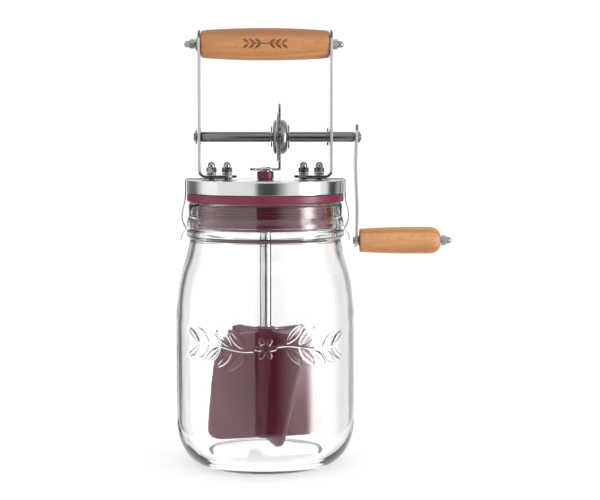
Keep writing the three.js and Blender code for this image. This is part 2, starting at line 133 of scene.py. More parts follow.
class Wire:
    """A node's output socket, on which Python's arithmetic adds Math nodes."""

    def __init__(self, finish, socket):
        self.finish = finish
        self.socket = socket

    def math(self, operation, *others):
        inputs = dict(enumerate((self, *others)))
        return self.finish.node("ShaderNodeMath", {"operation": operation}, inputs)

    def __add__(self, other):
        return self.math("ADD", other)

    __radd__ = __add__

    def __sub__(self, other):
        return self.math("SUBTRACT", other)

    def __rsub__(self, other):
        return self.finish.node("ShaderNodeMath", {"operation": "SUBTRACT"}, {0: other, 1: self})

    def __mul__(self, other):
        return self.math("MULTIPLY", other)

    __rmul__ = __mul__

    def __truediv__(self, other):
        return self.math("DIVIDE", other)

    def __pow__(self, other):
        return self.math("POWER", other)

    def __abs__(self):
        return self.math("ABSOLUTE")

    def step(self, low, high):
        """0 below low, 1 above high, and smooth between them."""
        limits = {"Value": self, "From Min": low, "From Max": high}
        return self.finish.node("ShaderNodeMapRange", {"interpolation_type": "SMOOTHSTEP"}, limits)


class Finish:
    """A material made of nodes, ending in one Principled shader."""

    def __init__(self, name, **constants):
        self.material = bpy.data.materials.new(name)
        self.material.use_nodes = True
        self.tree = self.material.node_tree
        self.tree.nodes.clear()
        output = self.tree.nodes.new("ShaderNodeOutputMaterial")
        self.shader = self.tree.nodes.new("ShaderNodeBsdfPrincipled")
        self.tree.links.new(self.shader.outputs[0], output.inputs[0])
        for socket, value in constants.items():
            self.set(socket.replace("_", " "), value)

    def set(self, socket, value):
        self._feed(self.shader.inputs[socket], value)

    def _feed(self, socket, value):
        if isinstance(value, Wire):
            self.tree.links.new(value.socket, socket)
        else:
            socket.default_value = value

    def node(self, kind, settings=None, sockets=None, output=0):
        """A new node: its settings come first, then the values or wires of its sockets."""
        made = self.tree.nodes.new(kind)
        for setting, value in (settings or {}).items():
            setattr(made, setting, value)
        for socket, value in (sockets or {}).items():
            self._feed(made.inputs[socket], value)
        return Wire(self, made.outputs[output])

    def place(self, scale=(1, 1, 1), location=(0, 0, 0), rotation=(0, 0, 0)):
        """Object coordinates in metres, moved, turned and scaled."""
        point = self.node("ShaderNodeTexCoord", output="Object")
        sockets = {"Vector": point, "Scale": scale, "Location": location, "Rotation": rotation}
        return self.node("ShaderNodeMapping", {"vector_type": "POINT"}, sockets)

    def noise(self, place, scale, detail=4.0, roughness=0.55, distortion=0.0):
        sockets = {"Vector": place, "Scale": scale, "Detail": detail}
        sockets.update(Roughness=roughness, Distortion=distortion)
        return self.node("ShaderNodeTexNoise", None, sockets)

    def cloud(self, scale, detail):
        """Even noise, with that many lumps to a metre."""
        return self.noise(self.place(), scale, detail)

    def grain(self, scale, detail, location=(0, 0, 0), rotation=(0, 0, 0), **shape):
        """Noise with its own number of lumps to a metre along X, Y and Z: few where it is drawn out."""
        return self.noise(self.place(scale, location, rotation), 1.0, detail, **shape)

    def blend(self, factor, first, second):
        settings = {"data_type": "RGBA", "blend_type": "MIX"}
        return self.node("ShaderNodeMix", settings, {0: factor, 6: first, 7: second}, output=2)

    def parts(self, kind):
        """X, Y and Z of one kind of texture coordinate."""
        point = self.node("ShaderNodeTexCoord", output=kind)
        apart = self.node("ShaderNodeSeparateXYZ", None, {0: point})
        return [Wire(self, output) for output in apart.socket.node.outputs]

    def axes(self):
        """X, Y and Z of the piece in metres."""
        return self.parts("Object")

    def facing(self):
        """X, Y and Z of the direction that the piece's own surface faces."""
        return self.parts("Normal")

    def bump(self, height, distance, strength=1.0):
        sockets = {"Height": height, "Distance": distance, "Strength": strength}
        self.set("Normal", self.node("ShaderNodeBump", None, sockets))


def shaded(base, share):
    """A colour made darker, or brighter, by a share."""
    return [min(1.0, part * share) for part in base[:3]] + [1]


def clear_glass(name):
    """Pressed jar glass: clear, a little wavy, with the faint swirl of the mould."""
    finish = Finish(name, Roughness=0.0, IOR=1.5, Transmission_Weight=1.0)
    finish.set("Base Color", tuple(colours().glass))
    swirl = finish.noise(finish.place((1, 1, 0.35)), 42, 2, 0.4, 0.6)
    finish.bump(swirl, 0.0006, 0.25)
    return finish


def satin_silicone(name):
    """Satin silicone: even colour with a faint cloud, a soft sheen and a fine moulded texture."""
    finish = Finish(name, Specular_IOR_Level=0.5)
    cloud = finish.cloud(60, 3)
    base = tuple(colours().silicone)
    finish.set("Base Color", finish.blend(cloud.step(0.3, 0.7), shaded(base, 0.8), base))
    finish.set("Roughness", cloud.step(0.2, 0.8) * 0.1 + 0.3)
    finish.bump(finish.cloud(900, 2), 0.00004, 0.5)
    return finish


def turned_steel(name):
    """Cap steel with fine lines that run round the skirt and in circles on top, and light wear."""
    finish = Finish(name, Metallic=1.0)
    x, y, z = finish.axes()
    radius = (x * x + y * y) ** 0.5
    per_metre = 9000.0
    sides = {0: radius * per_metre, 1: z * per_metre, 2: 0.0}
    lines = finish.noise(finish.node("ShaderNodeCombineXYZ", None, sides), 1.0, 3, 0.6)
    smudge = finish.cloud(35, 4)
    base = tuple(colours().cap_steel)
    worn = smudge.step(0.35, 0.7) * 0.4 + lines.step(0.3, 0.8) * 0.3
    finish.set("Base Color", finish.blend(worn, base, shaded(base, 0.86)))
    finish.set("Roughness", lines * 0.06 + smudge.step(0.4, 0.75) * 0.06 + 0.12)
    finish.bump(lines, 0.00002, 0.35)
    return finish


def strip_steel(name, low, high, painted_shade_ends=False):
    """Rolled strip with a fine grain and scratches.

    Its sheared edges are pale between two heights in millimetres and painted dark beyond them, as painted
    shade. With the ends shaded, the strip's faces are painted dark beyond them as well, as painted shade
    where the strip rounds over or ends.
    """
    finish = Finish(name, Metallic=1.0)
    grain = finish.grain((2500, 2500, 60), 3)
    scratches = finish.grain((300, 1400, 300), 2, rotation=(0.5, 0.2, 0.3))
    marks = scratches.step(0.66, 0.72)
    torn = finish.grain((900, 900, 900), 3)
    across, sideways, upwards = (abs(part) for part in finish.facing())
    sheared = sideways.step(0.7, 0.95)
    z = finish.axes()[2]
    above_foot = z.step((low - 1) * MM, (low + 1) * MM)
    at_top = z.step((high - 1) * MM, (high + 1) * MM)
    pale = above_foot * (1.0 - at_top)
    base = tuple(colours().strip_steel)
    # dark: the painted shade given to the edges, and to the ends, beyond the two heights
    dark = shaded(base, 0.2)
    face = finish.blend(grain.step(0.3, 0.7) * 0.5, base, shaded(base, 0.82))
    edge = finish.blend(pale * (torn * 0.3 + 0.78), dark, base)
    shade = finish.blend(sheared, face, edge)
    # painted shade: the faces go dark at the top end and at the foot, where the strip rounds over or ends
    if painted_shade_ends:
        top_end_shade = at_top * (1.0 - across.step(0.3, 0.6))
        foot_end_shade = (1.0 - above_foot) * (1.0 - upwards.step(0.3, 0.6))
        shade = finish.blend(top_end_shade.math("MAXIMUM", foot_end_shade), shade, dark)
    finish.set("Base Color", shade)
    finish.set("Roughness", grain * 0.1 + marks * 0.08 + 0.16 + sheared * pale * 0.35)
    finish.bump(grain - marks * 0.5 + sheared * torn, 0.00002, 0.4)
    return finish


def pressed_steel(name):
    """Pressed sheet: a satin face with faint rings from the press and rubbed patches."""
    finish = Finish(name, Metallic=1.0)
    cloud = finish.cloud(260, 4)
    rings = finish.grain((1800, 200, 200), 2)
    base = tuple(colours().pressed_steel)
    rubbed = cloud.step(0.45, 0.75) * 0.6 + rings.step(0.5, 0.8) * 0.3
    finish.set("Base Color", finish.blend(rubbed, base, shaded(base, 1.5)))
    finish.set("Roughness", cloud * 0.16 + rings * 0.06 + 0.2)
    finish.bump(cloud * 0.6 + rings * 0.4, 0.00003, 0.4)
    return finish


def drawn_bar(name, tint, roughness, lines):
    """Polished bar with rubbed patches and drawn lines, which have few lumps to a metre along the bar."""
    finish = Finish(name, Metallic=1.0)
    drawn = finish.grain(lines, 3)
    rubbed = finish.cloud(90, 4)
    base = tuple(getattr(colours(), tint))
    shine = drawn.step(0.35, 0.75) * 0.5 + rubbed.step(0.5, 0.8) * 0.3
    finish.set("Base Color", finish.blend(shine, base, shaded(base, 1.5)))
    finish.set("Roughness", drawn * 0.08 + rubbed.step(0.4, 0.8) * 0.06 + roughness)
    finish.bump(drawn, 0.00002, 0.4)
    return finish


def plating(name):
    """Bright plated fasteners with faint mottling."""
    finish = Finish(name, Metallic=1.0)
    mottle = finish.cloud(400, 4)
    base = tuple(colours().plating)
    finish.set("Base Color", finish.blend(mottle.step(0.4, 0.7) * 0.5, base, shaded(base, 0.75)))
    finish.set("Roughness", mottle * 0.12 + 0.1)
    finish.bump(mottle, 0.00002, 0.3)
    return finish


def leaf_mask(finish, across, up, centre, length, width, turn):
    """1 inside a pointed leaf and 0 outside it. Lengths are in metres and turn is in degrees."""
    cosine, sine = math.cos(math.radians(turn)), math.sin(math.radians(turn))
    u = ((across - centre[0]) * cosine + (up - centre[1]) * sine) / (length / 2)
    v = (up - centre[1]) * cosine - (across - centre[0]) * sine
    inside = 1.0 - u * u - abs(v) / (width / 2)
    return inside.step(-0.12, 0.12)


def burnt_sprig(finish, x, up):
    """1 inside a sprig of paired leaves on a long stem, and 0 outside it."""
    first, spacing, lean_angle = 0.0032, 0.0036, 38
    mask = leaf_mask(finish, x, up, (0, 0), 0.024, 0.0007, 0)
    for side in (-1, 1):
        for place in range(3):
            root = side * (first + spacing * place)
            for lean in (-1, 1):
                centre = (root + side * 0.0012, lean * 0.0016)
                leaf = leaf_mask(finish, x, up, centre, 0.0046, 0.0015, side * lean * lean_angle)
                mask = mask.math("MAXIMUM", leaf)
    return mask


def beech(name, centre, handle=False):
    """Oiled beech whose grain runs along X: growth rings, fine pores and short flecks.

    The centre is in millimetres. The carry handle also has a burnt sprig and painted shade that darkens its
    top.
    """
    finish = Finish(name, Specular_IOR_Level=0.4)
    at = [-c * MM for c in centre]
    bent = finish.grain((5, 40, 40), 3, at)
    rings = finish.grain((4, 160, 90), 4, at, roughness=0.6, distortion=0.8)
    pores = finish.grain((90, 1500, 1500), 2, at)
    flecks = finish.grain((380, 1500, 1500), 1, at).step(0.62, 0.7)
    flecks = flecks * finish.grain((25, 120, 120), 1, at).step(0.38, 0.55)
    light, dark = tuple(colours().beech_light), tuple(colours().beech_dark)
    wood = finish.blend((rings * 0.7 + bent * 0.3).step(0.36, 0.66), light, dark)
    wood = finish.blend(pores.step(0.5, 0.75) * 0.35, wood, dark)
    wood = finish.blend(flecks * 0.65, wood, shaded(dark, 0.5))
    if handle:
        x, _, z = finish.axes()
        up = z - centre[2] * MM
        mask = burnt_sprig(finish, x, up)
        front = (0.0 - finish.axes()[1]).step(0.0, 0.002)
        scorch = mask * front * (rings * 0.3 + 0.7)
        wood = finish.blend(scorch, wood, tuple(colours().burn))
        # painted shade: the top of the carry handle is darkened towards the dark late wood
        painted_top_shade = up.step(0.0, 0.0075) * 0.95
        wood = finish.blend(painted_top_shade, wood, shaded(dark, 0.75))
    finish.set("Base Color", wood)
    finish.set("Roughness", pores * 0.14 + rings * 0.1 + 0.36)
    finish.bump(rings * 0.3 - pores.step(0.55, 0.8) * 0.6 - flecks * 0.2, 0.00008, 0.5)
    return finish


def studio_white():
    """Pale floor, lit from below like a light table, with a barely visible unevenness."""
    finish = Finish("studio_white", Specular_IOR_Level=0.0, Roughness=0.9, Emission_Color=(1, 1, 1, 1),
                    Emission_Strength=0.56)
    base = tuple(colours().floor)
    finish.set("Base Color", finish.blend(finish.cloud(3, 2), base, shaded(base, 0.985)))
    return finish


def flat_card(name, shade):
    """A studio card of one shade."""
    finish = Finish(name, Roughness=1.0, Specular_IOR_Level=0.0)
    finish.set("Base Color", (shade, shade, shade, 1))
    return finish


def fading_card(name, shade, start, end):
    """A studio card that goes from a dark shade to white between two places along its own X, in metres."""
    finish = Finish(name, Roughness=1.0, Specular_IOR_Level=0.0)
    across = finish.axes()[0]
    along = finish.node("ShaderNodeMapRange", None, {"Value": across, "From Min": start, "From Max": end})
    finish.set("Base Color", finish.blend(along, (shade, shade, shade, 1), (1, 1, 1, 1)))
    return finish


def soft_light(name, strength, half_width, edge):
    """A glowing card that fades towards its sides to the brightness of the studio."""
    finish = Finish(name, Roughness=1.0, Specular_IOR_Level=0.0, Base_Color=(0, 0, 0, 1),
                    Emission_Strength=strength)
    glow = 1.0 - abs(finish.axes()[0]).step(half_width - edge, half_width)
    rest = sizes().sky / strength
    finish.set("Emission Color", finish.blend(glow * glow, (rest, rest, rest, 1), (1, 1, 1, 1)))
    return finish


FINISHES = {  # each finish's slot, the function that makes it, and values of its own
    "clear_glass": ("glass", clear_glass),
    "satin_silicone": ("silicone", satin_silicone),
    "turned_steel": ("brushed_cap", turned_steel),
    # for the strips: the two heights beyond which painted shade darkens them, and whether their ends get it
    # too
    "arm_strip": ("bright_steel", strip_steel, 175, 255.5, True),
    "clip_strip": ("bright_steel", strip_steel, 0, 160),
    "crank_strip": ("bright_steel", strip_steel, 0, 200.5, True),
    "pressed_steel": ("bright_steel", pressed_steel),
    "spindle_bar": ("bright_steel", drawn_bar, "strip_steel", 0.04, (3000, 3000, 40)),
    "shaft_steel": ("dark_steel", drawn_bar, "shaft_steel", 0.14, (40, 3000, 3000)),
    "plating": ("fastener_steel", plating),
    "carry_beech": ("beech", beech, (0, 0, HANDLE_Z), True),
    "knob_beech": ("beech", beech, (KNOB_X, 0, KNOB_Z)),
}


def finish_named(name):
    """The finish's material, made once."""
    _, maker, *values = FINISHES[name]
    return bpy.data.materials.get(name) or maker(name, *values).material


# ---- outlines, in millimetres


def arc(centre, radii, start, end, steps):
    """Points of an elliptical arc. Angles are in degrees."""
    angles = [math.radians(start + (end - start) * i / steps) for i in range(steps + 1)]
    return [(centre[0] + radii[0] * math.cos(a), centre[1] + radii[1] * math.sin(a)) for a in angles]


def circle(x, y, r, steps=32):
    return arc((x, y), (r, r), 0, 360, steps)[:-1]


def filleted(corners, closed=True, steps=4):
    """A path of (x, y, fillet radius) corners, with each fillet drawn as an arc."""
    path = []
    count = len(corners)
    for i, (x, y, fillet) in enumerate(corners):
        if not fillet or (not closed and i in (0, count - 1)):
            path.append((x, y))
            continue
        corner = Vector((x, y))
        back = (Vector(corners[i - 1][:2]) - corner).normalized()
        ahead = (Vector(corners[(i + 1) % count][:2]) - corner).normalized()
        half = back.angle(ahead) / 2
        middle = corner + (back + ahead).normalized() * (fillet / math.sin(half))
        start = corner + back * (fillet / math.tan(half)) - middle
        end = corner + ahead * (fillet / math.tan(half)) - middle
        sweep = start.angle_signed(end)
        for step in range(steps + 1):
            turned = Matrix.Rotation(-sweep * step / steps, 2) @ start
            path.append(tuple(middle + turned))
    return path


def smooth_through(points, per_span=6):
    """A smooth curve through the points."""
    ends = [points[0], *points, points[-1]]
    curve = []
    for four in zip(ends, ends[1:], ends[2:], ends[3:]):
        for i in range(per_span):
            curve.append(tuple(on_curve(*numbers, i / per_span) for numbers in zip(*four)))
    return curve + [tuple(points[-1])]


def on_curve(a, b, c, d, share):
    """The number at a share of the way from b to c, on a smooth curve through all four."""
    bend = 2 * a - 5 * b + 4 * c - d
    twist = 3 * b - a - 3 * c + d
    return 0.5 * (2 * b + (c - a) * share + bend * share * share + twist * share**3)


def ring_outline(inner, outer, low, high, fillet=0.15):
    """Section of a plain ring with eased corners."""
    corners = [(inner, low, fillet), (outer, low, fillet), (outer, high, fillet), (inner, high, fillet)]
    return filleted(corners, steps=2)


# ---- mesh work


def spun(profile, steps, closed=True):
    """A profile of (radius, height) spun once round Z."""
    mesh = bmesh.new()
    rim = [mesh.verts.new((r, 0, z)) for r, z in profile]
    ends = rim[1:] + rim[:1] if closed else rim[1:]
    edges = [mesh.edges.new(pair) for pair in zip(rim, ends)]
    bmesh.ops.spin(
        mesh, geom=rim + edges, cent=(0, 0, 0), axis=(0, 0, 1), angle=math.tau, steps=steps, use_merge=True
    )
    bmesh.ops.remove_doubles(mesh, verts=mesh.verts, dist=1e-4)
    return mesh


def turned_bar(corners, steps=SMALL):
    """A solid bar turned about Z, from corners that start and end on its axis."""
    return spun(filleted(corners, closed=False), steps, closed=False)


def plate(outline, holes, thickness, edge=None):
    """A flat plate with holes, drawn in X and Y and thickened along +Z, with its rims eased."""
    mesh = bmesh.new()
    edges = []
    for loop in [outline, *holes]:
        corners = [mesh.verts.new((x, y, 0)) for x, y in loop]
        edges += [mesh.edges.new(pair) for pair in zip(corners, corners[1:] + corners[:1])]
    bmesh.ops.triangle_fill(mesh, use_beauty=True, use_dissolve=False, edges=edges)
    thicken(mesh, mesh.faces[:], (0, 0, thickness))
    bmesh.ops.recalc_face_normals(mesh, faces=mesh.faces)
    bmesh.ops.dissolve_limit(mesh, angle_limit=math.radians(0.5), verts=mesh.verts, edges=mesh.edges)
    ease(mesh, sizes().edge if edge is None else edge)
    return mesh


def thicken(mesh, faces, step):
    """Extrudes faces by one step, and gives the new corners."""
    raised = bmesh.ops.extrude_face_region(mesh, geom=faces)["geom"]
    far = [item for item in raised if isinstance(item, bmesh.types.BMVert)]
    bmesh.ops.translate(mesh, verts=far, vec=step)
    return far


def ease(mesh, width, segments=2):
    """Rounds the edges that turn by more than 60 degrees."""
    sharp = [e for e in mesh.edges if e.calc_face_angle(0) > math.radians(60)]
    bmesh.ops.bevel(
        mesh, geom=sharp, offset=width, offset_type="OFFSET", segments=segments, profile=0.5, affect="EDGES",
        material=-1, clamp_overlap=False,
    )


def cut_across(mesh, place, facing, reach=1e-4, **clear):
    """Cuts every edge and face where a plane passes."""
    everything = mesh.verts[:] + mesh.edges[:] + mesh.faces[:]
    return bmesh.ops.bisect_plane(
        mesh, geom=everything, dist=reach, plane_co=place, plane_no=facing, **clear
    )["geom_cut"]


def turned(mesh, angle, axis):
    bmesh.ops.rotate(mesh, verts=mesh.verts, cent=(0, 0, 0), matrix=Matrix.Rotation(angle, 3, axis))
    return mesh


def moved(mesh, x=0.0, y=0.0, z=0.0):
    bmesh.ops.translate(mesh, verts=mesh.verts, vec=(x, y, z))
    return mesh


def laid(mesh, x=0.0, z=0.0):
    """Turns what was made about Z to lie along +X, and moves it to its place."""
    return moved(turned(mesh, math.pi / 2, "Y"), x, 0, z)


def on_side(mesh, side):
    """Turns what was made for the right side half round when it belongs on the left."""
    return turned(mesh, math.pi, "Z") if side == "left" else mesh


def piece(name, mesh, finish, body, nodes=None, sharp=32, ride=True):
    """Stores a mesh as a piece in metres, smooth but for its sharp edges.

    It stands for the CAD nodes that are given, or for the one that has its name.
    """
    bmesh.ops.recalc_face_normals(mesh, faces=mesh.faces)
    bmesh.ops.scale(mesh, vec=(MM, MM, MM), verts=mesh.verts)
    for face in mesh.faces:
        face.smooth = True
    for edge in mesh.edges:
        edge.smooth = edge.calc_face_angle(0) < math.radians(sharp)
    data = bpy.data.meshes.new(f"churn_{name}")
    mesh.to_mesh(data)
    mesh.free()
    data.materials.append(finish_named(finish))
    made = bpy.data.objects.new(f"churn_{name}", data)
    bpy.context.scene.collection.objects.link(made)
    if ride:
        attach(made, body)
    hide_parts(*(nodes or [name]))
    return made


def ring_piece(node, bore, finish, body, z, steps=SMALL, fillet=0.15):
    """A plain ring along X that fills its node's box."""
    low, high = box_mm(node)
    mesh = spun(ring_outline(bore, high.y, low.x, high.x, fillet), steps)
    return piece(node, laid(mesh, z=z), finish, body)


# ---- the jar

SPRIG_Z = 76.0  # height of the middle of the jar's sprig
SOFT = 0.7  # width over which the sprig rises


def radius_at(outline, z):
    """Radius of a rising outline at a height."""
    for (r1, z1), (r2, z2) in zip(outline, outline[1:]):
        if z1 < z <= z2:
            return r1 + (r2 - r1) * (z - z1) / (z2 - z1)
    return outline[0][0]


def smooth_step(value, low, high):
    t = min(1.0, max(0.0, (value - low) / (high - low)))
    return t * t * (3 - 2 * t)


def stem_z(across):
    """Height of the sprig's wavy stem."""
    wave, length = 1.6, 46
    return SPRIG_Z + wave * math.sin(across / length * math.pi * 2)


def leaf_height(offset, along, length):
    """Share of the relief on a leaf that points along a direction, at an offset from its middle."""
    u = offset.dot(along) / (length / 2)
    v = abs(offset.cross(along))
    if abs(u) >= 1:
        return 0.0
    half_width = 2.7
    vein = 0.45 * smooth_step(0.55 - v, 0.0, 0.4)
    return smooth_step((1 - u * u) * half_width - v, 0.0, SOFT) - vein


def flower_height(offset):
    """Share of the relief on the flower of six petals, at an offset from its middle."""
    reach = offset.length
    petal = 4.9 + 1.9 * math.cos(6 * math.atan2(offset.y, offset.x))
    rim = smooth_step(petal - reach, 0.0, SOFT)
    eye = 0.5 * smooth_step(2.2 - reach, 0.0, 0.5) - 0.45 * smooth_step(3.2 - reach, 0.0, 0.5)
    return rim + eye


def sprig_height(across, z):
    """Share of the full relief at a point of the jar's front: a level sprig of leaves about a flower."""
    height = 0.0
    if 7 < abs(across) < 45:
        height = smooth_step(0.9 - abs(z - stem_z(across)), 0.0, SOFT)
    for side in (-1, 1):
        for place in range(5):
            root = side * (11 + 7.6 * place)
            length = 15.5 - 0.5 * place
            for lean in (-1, 1):
                turn = math.radians(48 - 3 * place) * lean
                along = Vector((side * math.cos(turn), math.sin(turn)))
                offset = Vector((across - root, z - stem_z(root))) - along * (length / 2 + 0.8)
                height = max(height, leaf_height(offset, along, length))
    flower = Vector((across, z - SPRIG_Z))
    if flower.length < 8:
        height = max(height, flower_height(flower))
    return height


class CHURN_OT_glass_jar(bpy.types.Operator):
    """Spins the jar's wall and presses a leaf sprig into its front"""

    bl_idname = "churn.glass_jar"
    bl_label = "Glass jar"

    def execute(self, context):
        high = box_mm("glass_jar")[1]
        body, rim = high.x, high.z
        outside = self.outside(body, rim)
        mesh = spun(outside + self.inside(body), FINE, closed=False)
        self.press_sprig(mesh, [(r, z) for r, z in outside if 40 < z < 110])
        piece("glass_jar", mesh, "clear_glass", "jar", sharp=60)
        return {"FINISHED"}

    @staticmethod
    def outside(body, rim):
        """The outside, from the middle of the foot up to the mouth."""
        hollow, foot, heel, neck, mouth = 1.6, 37.5, 27.0, 46.4, 41.8
        base = [(20, hollow, 0), (33, hollow, 2), (35.5, 0, 1.2), (foot + 1, 0, 0)]
        outline = [(0, hollow)] + filleted(base, closed=False)[:-1]
        outline += arc((foot, heel), (body - foot, heel), -86, 0, 22)
        outline += [(body, z) for z in range(30, 88, 2)]
        shoulder = [(body, 88), (53.7, 94), (52.7, 105), (50.7, 115), (47.4, 126), (45.9, 133)]
        outline += smooth_through(shoulder, 5)
        groove, collar, bead = 45.8, 47.6, 47.4
        finish = [(groove, 133.6, 0), (45.9, 135.6, 1.4), (collar, 137.5, 1.2), (collar, 140.6, 1.5),
                  (groove, 141.3, 0.8), (groove, 142.1, 0.8), (bead, 142.9, 1.2), (bead, 145.6, 1.8),
                  (neck, 149.4, 4), (neck, rim, 1.9), (mouth, rim, 1.9), (mouth, 138, 8)]
        return outline + filleted(finish, closed=False, steps=5)[1:-1]

    @staticmethod
    def inside(body):
        """The inside from the mouth down to the middle of the base."""
        wall, foot, heel, mouth = 3.0, 36.5, 27.5, 41.8
        bore = body - wall
        shoulder = [(mouth, 137), (43.8, 126), (47.4, 115), (49.6, 105), (50.7, 95), (bore, 84)]
        outline = smooth_through(shoulder, 5) + [(bore, 60), (bore, 40)]
        return outline + arc((foot, heel), (bore - foot, heel - 4.8), 0, -90, 22) + [(12, 5.8), (0, 5.4)]

    @staticmethod
    def press_sprig(mesh, wall):
        """Divides the front of the wall finely and raises the sprig. The wall is its outline, upwards."""
        body = wall[0][0]
        low, high, half_arc = 59, 93, 52

        def on_front(point, slack=0.0):
            return (
                math.hypot(point.x, point.y) > body - 0.8
                and point.y < 0
                and abs(math.atan2(point.x, -point.y)) * body < half_arc + slack
                and low - slack < point.z < high + slack
            )

        front = [f for f in mesh.faces if on_front(f.calc_center_median())]
        edges = list({e for f in front for e in f.edges})
        bmesh.ops.subdivide_edges(mesh, edges=edges, cuts=4, use_grid_fill=True)
        raised = sizes().relief
        for vert in mesh.verts:
            if on_front(vert.co, slack=3):
                turn = math.atan2(vert.co.x, -vert.co.y)
                radius = radius_at(wall, vert.co.z) + raised * sprig_height(turn * body, vert.co.z)
                vert.co.x, vert.co.y = radius * math.sin(turn), -radius * math.cos(turn)


# ---- the lid


class CHURN_OT_lid_cover(bpy.types.Operator):
    """Spins the drawn steel cap"""

    bl_idname = "churn.lid_cover"
    bl_label = "Lid cover"

    def execute(self, context):
        low, high = box_mm("lid_cover")
        sheet, bore = 0.8, 4.5
        under, within = high.z - sheet, high.x - sheet
        corners = [(bore, under, 0), (within, under, 1.0), (within, low.z, 0.3), (high.x, low.z, 0.35),
                   (high.x, high.z, 0.9), (bore, high.z, 0.2)]
        piece("lid_cover", spun(filleted(corners, steps=6), FINE), "turned_steel", "lid")
        return {"FINISHED"}


class CHURN_OT_lid_seal(bpy.types.Operator):
    """Spins the silicone seal with its ribbed plug, and the spindle's bush"""

    bl_idname = "churn.lid_seal"
    bl_label = "Lid seal and bush"

    def execute(self, context):
        low, high = box_mm("lid_seal")
        under_skirt = box_mm("lid_cover")[0].z - 0.3
        plug, wall, disc, flange, bore, seat = 41.2, 3.7, 163.5, 157.7, 4.5, 46.1
        outer, inner, valley = high.x + 0.5, plug - wall, plug - 0.9
        well_outer, well_inner, well_floor = 37, 18.5, 167.4
        ribs = []
        for i in range(5):
            z = 148.6 + 1.75 * i
            ribs += [(valley, z, 0.35), (plug, z + 0.45, 0.3), (plug, z + 1.0, 0.3), (valley, z + 1.35, 0.35)]
        corners = [
            (bore, disc, 0.4), (inner, disc, 2), (inner, low.z, 0.8), (plug - 0.6, low.z, 0.8),
            (plug, 145, 1), (plug, 147.6, 0.6), *ribs, (valley, flange, 0.3), (outer, flange, 0.7),
            (outer, under_skirt, 0.5), (seat, under_skirt, 0.1), (seat, high.z, 1.2),
            (well_outer, high.z, 0.4), (well_outer - 0.5, well_floor, 0.4),
            (well_inner + 0.5, well_floor, 0.4), (well_inner, high.z, 0.4), (bore, high.z, 0.3),
        ]
        piece("lid_seal", spun(filleted(corners, steps=3), FINE), "satin_silicone", "lid")
        base, top = box_mm("spindle_bush")
        bore, shank, seat = 3.3, 4.2, 171.1
        corners = [(bore, base.z, 0.2), (shank, base.z, 0.4), (shank, seat, 0.1), (top.x, seat, 0.4),
                   (top.x, top.z, 0.7), (bore, top.z, 0.3)]
        piece("spindle_bush", spun(filleted(corners), MIDDLE), "satin_silicone", "lid")
        return {"FINISHED"}


# ---- the frame and the clips


class CHURN_OT_frame_arms(bpy.types.Operator):
    """Stamps each arm flat, round at both ends and drilled, and bends its foot"""

    bl_idname = "churn.frame_arms"
    bl_label = "Frame arms"

    def execute(self, context):
        for side in ("left", "right"):
            piece(f"frame_arm_{side}", on_side(self.bent_arm(), side), "arm_strip", "lid")
        return {"FINISHED"}

    @staticmethod
    def bent_arm():
        low, high = box_mm("frame_arm_right")
        half, thick, bend = high.y, 1.5, 3.0
        curve_x, curve_z = high.x - thick - bend, low.z + thick + bend
        middle = bend + thick / 2
        turn = middle * math.pi / 2  # length of the bend's middle line
        start = curve_x - low.x
        rise = start + turn - curve_z  # added to a height, it gives the place along the flat strip
        length = rise + high.z
        outline = arc((half, 0), (half, half), 270, 90, 24)
        outline += arc((length - half, 0), (half, half), 90, -90, 24)
        screw, bearing = 1.8, 4.8
        holes = [circle(32.5 - low.x, 0, screw), circle(23.1 - low.x, 0, screw),
                 circle(rise + SHAFT_Z, 0, bearing), circle(rise + HANDLE_Z, 0, screw)]
        mesh = plate(outline, holes, thick)
        cuts = 12
        for i in range(cuts + 1):
            cut_across(mesh, (start + turn * i / cuts, 0, 0), (1, 0, 0))
        for vert in mesh.verts:
            s, y, up = vert.co
            radius = bend + thick - up
            if s <= start:
                vert.co = (low.x + s, y, low.z + up)
            elif s < start + turn:
                angle = (s - start) / middle
                vert.co = (curve_x + radius * math.sin(angle), y, curve_z - radius * math.cos(angle))
            else:
                vert.co = (curve_x + radius, y, s - rise)
        return mesh


class CHURN_OT_spring_clips(bpy.types.Operator):
    """Bends each spring clip from one strip that follows the lid's edge"""

    bl_idname = "churn.spring_clips"
    bl_label = "Spring clips"

    def execute(self, context):
        for side, sign in (("left", -1), ("right", 1)):
            made = piece(f"spring_clip_{side}", on_side(self.strip(), side), "clip_strip", "lid",
                         [f"clip_leaf_{side}", f"lid_clip_{side}"], sharp=50, ride=False)
            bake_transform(made)
        return {"FINISHED"}

    @staticmethod
    def strip():
        low, high = box_mm("clip_leaf_right")
        thick, half = high.z - low.z, high.y
        z = low.z + thick / 2
        along_lid = [(low.x + 0.01, z), (30, z), (40, z), (46, z), (47.3, z - 0.25), (47.95, z - 1.2)]
        down_side = [(48.05, 168), (48.05, 163.5), (48.6, 157.5), (50.1, 151), (50.1, 147), (49, 143.6)]
        under_bead = [(47.8, 141.6), (48.4, 140.2), (50.1, 138), (50.8, 134.5)]
        line = [Vector(p) for p in smooth_through(along_lid + down_side + under_bead, 6)]
        mesh = bmesh.new()
        rows = []
        for before, here, after in zip([line[0], *line], line, [*line[1:], line[-1]]):
            across = (after - before).normalized().orthogonal() * (thick / 2)
            faces = [here + side * across for side in (-1, 1)]
            rows.append([mesh.verts.new((point.x, -half, point.y)) for point in faces])
        for (a, b), (c, d) in zip(rows, rows[1:]):
            mesh.faces.new((a, b, d, c))
        thicken(mesh, mesh.faces[:], (0, 2 * half, 0))
        bmesh.ops.recalc_face_normals(mesh, faces=mesh.faces)
        ease(mesh, 0.12, 1)
        return mesh


# ---- fasteners


